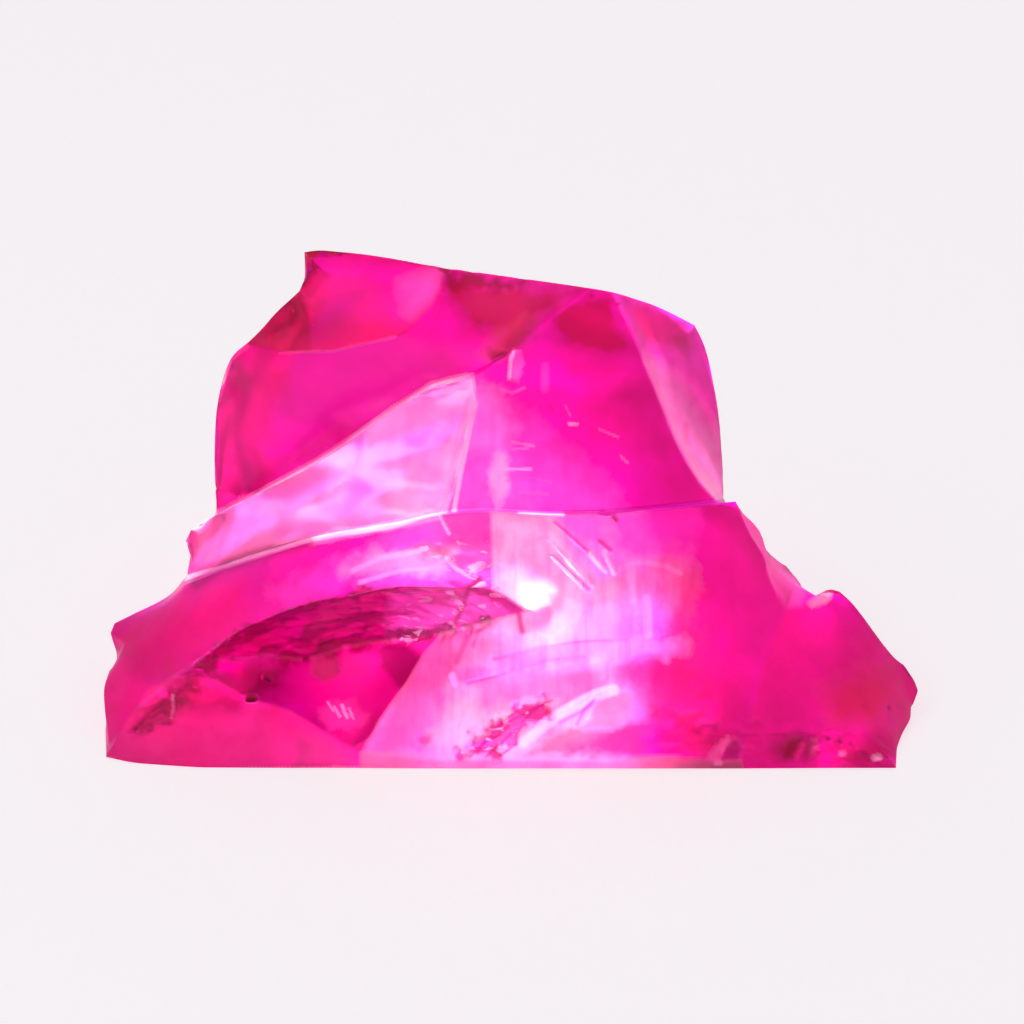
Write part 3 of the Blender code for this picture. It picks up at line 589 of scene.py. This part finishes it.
def near_any_mark(places):
    near = [near_line(places, line, width + MARK_MARGIN) > 0 for line, width, *_ in STROKES.values()]
    return np.any(near, axis=0)


def on_front(edge):
    eye = eye_and_directions()[0]
    return any((eye - face.verts[0].co).dot(face.normal) > 0 for face in edge.link_faces)


def split_long_edges(mesh, longest, only_marks):
    """Splits the front's edges that are too long, everywhere or next to the fine marks alone."""
    long = [edge for edge in mesh.edges if edge.calc_length() > longest and on_front(edge)]
    if only_marks:
        middles = np.array([(edge.verts[0].co + edge.verts[1].co) / 2 for edge in long])
        near = near_any_mark(seen_at(middles))
        long = [edge for edge, chosen in zip(long, near) if chosen]
    bmesh.ops.subdivide_edges(mesh, edges=long, cuts=1)
    bmesh.ops.triangulate(mesh, faces=[face for face in mesh.faces if len(face.verts) > 3])


def split_stone():
    """The stone's solid as small triangles, with its sharp edges marked."""
    mesh = bmesh.new()
    mesh.from_mesh(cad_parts["ruby"].data)
    bmesh.ops.remove_doubles(mesh, verts=mesh.verts, dist=SAME_POINT)
    for edge in mesh.edges:
        edge.smooth = edge.calc_face_angle(math.pi) < CREASE
    for _ in range(EVEN_SPLITS):
        bmesh.ops.subdivide_edges(mesh, edges=mesh.edges, cuts=1, use_grid_fill=True)
    for _ in range(SEEN_SPLITS):
        split_long_edges(mesh, SEEN_EDGE, only_marks=False)
    for _ in range(MARK_SPLITS):
        split_long_edges(mesh, MARK_EDGE, only_marks=True)
    data = bpy.data.meshes.new("ruby_stone")
    mesh.to_mesh(data)
    mesh.free()
    return data


def read(data):
    points = np.empty(len(data.vertices) * 3)
    data.vertices.foreach_get("co", points)
    edges = np.empty(len(data.edges) * 2, int)
    data.edges.foreach_get("vertices", edges)
    sharp = np.array([edge.use_edge_sharp for edge in data.edges])
    return points.reshape(-1, 3), edges.reshape(-1, 2), sharp


def ease(points, edges, sharp):
    """Moves each point toward the middle of its neighbours: along the edge where it is on a sharp one."""
    on_sharp = np.bincount(edges[sharp].ravel(), minlength=len(points))
    plain = on_sharp == 0
    along = on_sharp == 2
    for _ in range(EASE_ROUNDS):
        middle = mean_of_neighbours(points, edges)
        crease = mean_of_neighbours(points, edges[sharp])
        points = points + EASE_SHARE * plain[:, None] * (middle - points)
        points = points + EASE_SHARE * along[:, None] * (crease - points)
    return points


def mean_of_neighbours(points, edges):
    total = np.zeros_like(points)
    share = np.zeros(len(points))
    for one, other in ((0, 1), (1, 0)):
        np.add.at(total, edges[:, one], points[edges[:, other]])
        np.add.at(share, edges[:, one], 1)
    return total / np.maximum(share, 1)[:, None]


def corners_of(text):
    return np.array([[float(value) for value in pair.split(",")] for pair in text.split()])


def gap_to_side(places, start, end):
    """How far each place is from the straight line between two points, in pixels."""
    (x1, y1), (dx, dy) = start, end - start
    along = ((places[:, 0] - x1) * dx + (places[:, 1] - y1) * dy) / (dx * dx + dy * dy)
    along = np.clip(along, 0, 1)
    return np.hypot(places[:, 0] - x1 - along * dx, places[:, 1] - y1 - along * dy)


def inside(places, corners):
    """How far each place lies inside a polygon, in pixels, and below 0 outside it."""
    nearest = np.full(len(places), FAR)
    crossings = np.zeros(len(places), int)
    for start, end in zip(corners, np.roll(corners, -1, axis=0)):
        nearest = np.minimum(nearest, gap_to_side(places, start, end))
        (x1, y1), (dx, dy) = start, end - start
        if dy:
            crosses = (places[:, 1] < y1) != (places[:, 1] < end[1])
            crossings += crosses & (places[:, 0] < x1 + (places[:, 1] - y1) / dy * dx)
    return np.where(crossings % 2 == 1, nearest, -nearest)


def grain_places(points, kind):
    size, shift = GRAINS[kind]
    return (points / (np.array(size) * MM) + shift).tolist()


def wander(points, kind):
    """Smooth noise between -1 and 1."""
    return np.array([noise.noise(spot) for spot in grain_places(points, kind)])


def scoops(points, kind):
    """Shallow scoops, as broken crystal has: how deep each point lies in its own one, and how deeply
    that one is tinted, both from 0 to 1."""
    deep = np.empty(len(points))
    own = np.empty(len(points))
    for number, spot in enumerate(grain_places(points, kind)):
        gaps, middles = noise.voronoi(spot)
        rim = min((gaps[1] - gaps[0]) / SCOOP_RIM, 1)
        deep[number] = rim * max(1 - gaps[0] ** 2, 0)
        own[number] = 0.5 + noise.noise(middles[0] * SCOOP_APART) * (SCOOP_CONTRAST + rim)
    return deep, np.clip(own, 0, 1)


def cover(places, corners, soft, ragged=0.0, ruggedness=None):
    """How far a patch covers each place: 0 outside it, 1 well inside it."""
    depth = inside(places, corners_of(corners))
    if ragged:
        depth = depth + ragged * ruggedness
    return np.clip(depth / soft + 0.5, 0, 1)


def near_line(places, points, width):
    """1 up to a quarter of the width away from a line of the view, and 0 beyond three quarters."""
    corners = corners_of(points)
    nearest = np.full(len(places), FAR)
    for start, end in zip(corners, corners[1:]):
        nearest = np.minimum(nearest, gap_to_side(places, start, end))
    return np.clip(1.5 - 2 * nearest / width, 0, 1)


def mix(values, share, other):
    return values + share[:, None] * (np.array(other) - values)


def hidden_tint(points, scoop_tint):
    """The tint of the hidden sides, with painted light that makes them pale low behind the front's glow."""
    tint = np.tile(np.array(BACK_TINT), (len(points), 1))
    tint = mix(tint, scoop_tint, BACK_DEEP)
    away = np.linalg.norm((points / MM - WINDOW_MIDDLE) / WINDOW_REACH, axis=1)
    return mix(tint, np.clip(WINDOW_FADE * (1 - away), 0, 1), WINDOW_PAINTED_LIGHT)


def with_faces(places, seen, tint):
    """The tint with the fracture faces' own on it, which carry their painted light and shade, and the skin's
    roughness.
    """
    rough = np.full(len(places), SKIN_ROUGH)
    for corners, colour, roughness in FACES.values():
        share = np.clip(cover(places, corners, FACE_SOFT) * FACE_FILL, 0, 1) * seen
        tint = mix(tint, share, colour)
        rough += share * (roughness - rough)
    for corners, roughness in SMOOTH.values():
        rough += cover(places, corners, SMOOTH_SOFT) * seen * (roughness - rough)
    return tint, rough


def with_marks(places, seen, ruggedness, tint):
    """The tint with the patches and fine marks of painted light and shade on it, and how deep those are sunk,
    in metres.
    """
    depth = np.zeros(len(places))
    for name, (corners, colour, strength, soft, ragged, sunk) in PATCHES.items():
        share = cover(places, corners, soft, ragged, ruggedness) * seen
        face = FACES.get(name.split("_")[0])
        if face:
            share *= cover(places, face[0], OWN_FACE_SOFT)
        tint = mix(tint, share * strength, colour)
        depth += share * sunk * MM
    for line, width, colour, strength, sunk in STROKES.values():
        share = near_line(places, line, width) * seen
        tint = mix(tint, share * strength, colour)
        depth += share * sunk * MM
    return tint, depth


def textures(places, seen, ruggedness):
    """How strong the dark patches, the white flecks of painted glints and the streaks are at each place."""
    darks = []
    flecks = []
    for corners, _, dark, fleck in BROKEN.values():
        share = cover(places, corners, BROKEN_SOFT, BROKEN_RAGGED, ruggedness) * seen
        darks.append(share * dark)
        # the white flecks are painted glints
        flecks.append(share * fleck)
    streaks = [cover(places, corners, STREAK_SOFT) * much for corners, much in STREAKED.values()]
    return {
        "broken": np.max(darks, axis=0),
        "painted_glints": np.max(flecks, axis=0),
        "streaked": np.max(streaks, axis=0) * seen,
    }


def relief(points, places, toward_eye, hollows):
    """Fine relief in metres, which the whole skin has, deeper where it is broken up or hidden."""
    seen = (toward_eye > 0) * 1.0
    coarse = wander(points, "bumps")
    fine = wander(points, "fine_bumps")
    depth = BUMP_DEPTH * (1 + coarse) + FINE_BUMP_DEPTH * (1 + fine)
    chips = scoops(points, "chips")[0]
    splinters = scoops(points, "splinters")[0]
    for corners, sunk, *_ in BROKEN.values():
        share = cover(places, corners, BROKEN_RELIEF_SOFT, BROKEN_RAGGED, coarse) * seen
        depth += share * sunk * MM * (CHIP_SHARE * chips + SPLINTER_SHARE * splinters)
    return depth + np.clip(-HIDDEN_FADE * toward_eye, 0, 1) * HIDDEN_DEPTH * hollows


def dress(points, normals):
    """The skin's tint, with its painted light and shade, and its other values at each point, and how deep it
    is carved there in metres.
    """
    places = seen_at(points)
    toward_eye = facing(points, normals)
    seen = (toward_eye > 0) * 1.0
    hollows, scoop_tint = scoops(points, "hidden")
    ruggedness = wander(points, "border") + FINE_BORDER * wander(points, "fine_border")
    tint = mix(hidden_tint(points, scoop_tint), seen, FRONT_TINT)
    tint[points[:, 2] < BASE_HEIGHT] = BASE_TINT
    tint, rough = with_faces(places, seen, tint)
    tint, depth = with_marks(places, seen, ruggedness, tint)
    depth += relief(points, places, toward_eye, hollows)
    depth *= np.clip(points[:, 2] / RELIEF_FADE, 0, 1)
    return tint, {"rough": rough, **textures(places, seen, ruggedness)}, depth


def normals_of(data):
    normals = np.empty(len(data.vertices) * 3)
    data.vertex_normals.foreach_get("vector", normals)
    return normals.reshape(-1, 3)


def set_points(data, points):
    data.vertices.foreach_set("co", points.ravel())
    data.update()


def fine_stone():
    data = split_stone()
    points = ease(*read(data))
    set_points(data, points)
    normals = normals_of(data)
    tint, skin, depth = dress(points, normals)
    set_points(data, points - normals * depth[:, None])
    data.shade_smooth()
    data.set_sharp_from_angle(angle=CREASE)
    # The tint holds the stone's own colour together with the painted light and shade of the faces, patches
    # and marks
    colours = data.color_attributes.new("tint", "FLOAT_COLOR", "POINT")
    colours.data.foreach_set("color", np.c_[tint, np.ones(len(tint))].ravel())
    for name, values in skin.items():
        data.attributes.new(name, "FLOAT", "POINT").data.foreach_set("value", values)
    stone = bpy.data.objects.new("ruby_stone", data)
    bpy.context.collection.objects.link(stone)
    return stone


def add_node(tree, kind, **values):
    """A node with its sockets set from plain values, and linked from other nodes' sockets."""
    node = tree.nodes.new(kind)
    for name, value in values.items():
        if hasattr(node, name):
            setattr(node, name, value)
            continue
        socket = node.inputs[name.replace("_", " ")]
        if isinstance(value, bpy.types.NodeSocket):
            tree.links.new(value, socket)
        else:
            socket.default_value = value
    return node


def skin_value(tree, name, output="Fac"):
    return add_node(tree, "ShaderNodeAttribute", attribute_name=name).outputs[output]


def noise_share(tree, size, lowest, highest, detail, warp):
    """Noise as a share from 0 to 1."""
    place = add_node(tree, "ShaderNodeTexCoord").outputs["Object"]
    scale = [1 / (length * MM) for length in size]
    spread = add_node(tree, "ShaderNodeMapping", Vector=place, Scale=scale).outputs["Vector"]
    grain = add_node(tree, "ShaderNodeTexNoise", Vector=spread, Scale=1.0, Detail=detail, Distortion=warp)
    limits = {"From_Min": lowest, "From_Max": highest}
    ramp = add_node(tree, "ShaderNodeMapRange", clamp=True, Value=grain.outputs["Fac"], **limits)
    return ramp.outputs["Result"]


def times(tree, one, other):
    node = tree.nodes.new("ShaderNodeMath")
    node.operation = "MULTIPLY"
    tree.links.new(one, node.inputs[0])
    tree.links.new(other, node.inputs[1])
    return node.outputs["Value"]


def tinted(tree, share, colour, other, way="MULTIPLY"):
    """The colour multiplied by another one by a share, or turned toward it where the way is MIX."""
    node = tree.nodes.new("ShaderNodeMix")
    node.data_type = "RGBA"
    node.blend_type = way
    tree.links.new(share, node.inputs["Factor"])
    tree.links.new(colour, node.inputs[MIX_FIRST])
    node.inputs[MIX_SECOND].default_value = (*other, 1)
    return node.outputs[MIX_RESULT]


def skin_colour(tree):
    """The tint with its mottling, streaks, dark patches and white flecks of painted glints."""
    colour = skin_value(tree, "tint", "Color")
    colour = tinted(tree, noise_share(tree, *MOTTLE), colour, MOTTLE_FILTER)
    streaks = times(tree, noise_share(tree, *STREAKS), skin_value(tree, "streaked"))
    colour = tinted(tree, streaks, colour, STREAK_FILTER)
    dark = times(tree, noise_share(tree, *DARKS), skin_value(tree, "broken"))
    colour = tinted(tree, dark, colour, DARK_FILTER)
    # White flecks of painted glints on the broken parts
    white = times(tree, noise_share(tree, *GLINT_FLECKS), skin_value(tree, "painted_glints"))
    return tinted(tree, white, colour, GLINT_COLOUR, way="MIX")


def ruby_material():
    material = bpy.data.materials.new("ruby_crystal")
    material.use_nodes = True
    tree = material.node_tree
    shader = tree.nodes["Principled BSDF"]
    shader.inputs["IOR"].default_value = RUBY_IOR
    shader.inputs["Transmission Weight"].default_value = 1.0
    shader.inputs["Specular IOR Level"].default_value = RUBY_GLOSS
    shader.inputs["Specular Tint"].default_value = GLOSS_TINT
    tree.links.new(skin_colour(tree), shader.inputs["Base Color"])
    tree.links.new(skin_value(tree, "rough"), shader.inputs["Roughness"])
    depth = tree.nodes.new("ShaderNodeVolumeAbsorption")
    depth.inputs["Color"].default_value = DEPTH_COLOUR
    depth.inputs["Density"].default_value = DEPTH_DENSITY
    tree.links.new(depth.outputs["Volume"], tree.nodes["Material Output"].inputs["Volume"])
    return material


def floor_material():
    material = bpy.data.materials.new("floor_paper")
    material.use_nodes = True
    shader = material.node_tree.nodes["Principled BSDF"]
    shader.inputs["Base Color"].default_value = PAPER_COLOUR
    shader.inputs["Roughness"].default_value = PAPER_ROUGH
    shader.inputs["Emission Color"].default_value = PAPER_GLOW_COLOUR
    shader.inputs["Emission Strength"].default_value = PAPER_GLOW
    return material


def add_square(name, half, material):
    """A flat square sheet with its middle at the origin."""
    mesh = bpy.data.meshes.new(name)
    corners = [(-half, -half, 0), (half, -half, 0), (half, half, 0), (-half, half, 0)]
    mesh.from_pydata(corners, [], [(0, 1, 2, 3)])
    mesh.materials.append(material)
    sheet = bpy.data.objects.new(name, mesh)
    bpy.context.collection.objects.link(sheet)
    return sheet


def add_floor():
    floor = add_square("floor", PAPER_REACH, floor_material())
    floor.location.z = -PAPER_DROP


def brightness_share(tree, brightness, spot):
    """A sheet's brightness, which rises toward the middle of a spot."""
    centre, reach, peak = spot
    place = add_node(tree, "ShaderNodeTexCoord").outputs["Object"]
    spread = add_node(tree, "ShaderNodeMapping", vector_type="TEXTURE", Vector=place,
                      Location=[c * MM for c in centre], Scale=[r * MM for r in reach])
    fade = add_node(tree, "ShaderNodeTexGradient", gradient_type="SPHERICAL", Vector=spread.outputs["Vector"])
    limits = {"To_Min": brightness, "To_Max": peak}
    return add_node(tree, "ShaderNodeMapRange", Value=fade.outputs["Fac"], **limits).outputs["Result"]


def glow_material(name, brightness, spot=None):
    """A glowing sheet's material. Its brightness is 1 where white paper in the scene is."""
    material = bpy.data.materials.new(name)
    material.use_nodes = True
    material.cycles.emission_sampling = "NONE"
    tree = material.node_tree
    tree.nodes.remove(tree.nodes["Principled BSDF"])
    glow = tree.nodes.new("ShaderNodeEmission")
    glow.inputs["Strength"].default_value = brightness
    tree.links.new(glow.outputs["Emission"], tree.nodes["Material Output"].inputs["Surface"])
    if spot:
        tree.links.new(brightness_share(tree, brightness, spot), glow.inputs["Strength"])
    return material


def add_glow(name, place, aim, side, material):
    """A square sheet whose light shows through the stone alone."""
    sheet = add_square(name, side * MM / 2, material)
    sheet.location = Vector(place) * MM
    sheet.rotation_euler = (Vector(aim) - Vector(place)).to_track_quat("Z", "Y").to_euler()
    sheet.visible_camera = False
    sheet.visible_diffuse = False
    sheet.visible_glossy = False
    sheet.visible_shadow = False


def add_key():
    lamp = bpy.data.lights.new("key", "AREA")
    lamp.size = KEY_SIDE
    lamp.energy = KEY_BRIGHTNESS * math.pi * KEY_SIDE**2
    light = bpy.data.objects.new("key", lamp)
    light.location = KEY_PLACE
    light.rotation_euler = (AIM - KEY_PLACE).to_track_quat("-Z", "Y").to_euler()
    bpy.context.collection.objects.link(light)


def add_lights():
    world = bpy.data.worlds.new("studio")
    world.use_nodes = True
    world.node_tree.nodes["Background"].inputs["Color"].default_value = SKY_COLOUR
    world.node_tree.nodes["Background"].inputs["Strength"].default_value = SKY_BRIGHTNESS
    bpy.context.scene.world = world
    add_key()
    table = glow_material("table_glow", TABLE_BRIGHTNESS, TABLE_SPOT)
    add_glow("table_glow", TABLE_GLOW_PLACE, TABLE_GLOW_AIM, TABLE_GLOW_SIDE, table)
    for name, place, side, brightness in SOFTBOXES:
        add_glow(name, place, SOFTBOX_AIM, side, glow_material(name, brightness))


def set_view():
    view = bpy.context.scene.view_settings
    view.view_transform = "Standard"
    view.look = "None"


stone = fine_stone()
stone.data.materials.append(ruby_material())
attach(stone, "root")
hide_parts("ruby")
add_floor()
add_lights()
add_camera()
set_view()
